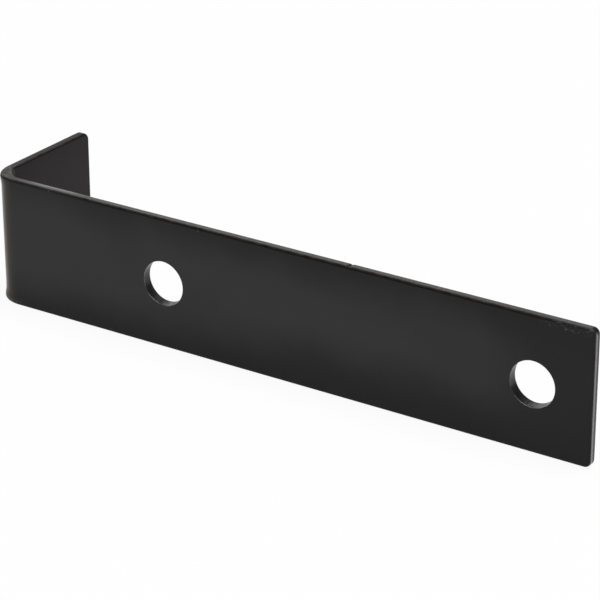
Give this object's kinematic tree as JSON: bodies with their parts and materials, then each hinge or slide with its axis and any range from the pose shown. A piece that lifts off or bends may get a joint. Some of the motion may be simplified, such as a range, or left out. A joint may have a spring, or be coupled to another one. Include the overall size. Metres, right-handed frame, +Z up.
{
  "type": "corner brace",
  "caption": "Flat steel strip bent to a right angle, with a long and a short leg and round bolt holes along its middle line; fastens framing members to each other at a corner.",
  "frame": {"origin": "middle of the footprint, on the surface that the brace stands on with one long edge", "axes": "+X along the long leg, away from the bend; +Y along the short leg, towards its free end; +Z up, across the width of the strip"},
  "size_m": [0.201, 0.0446, 0.04],
  "materials": {
    "black_coating": "satin"
  },
  "bodies": {
    "root": {"brace": "black_coating"}
  },
  "joints": []
}
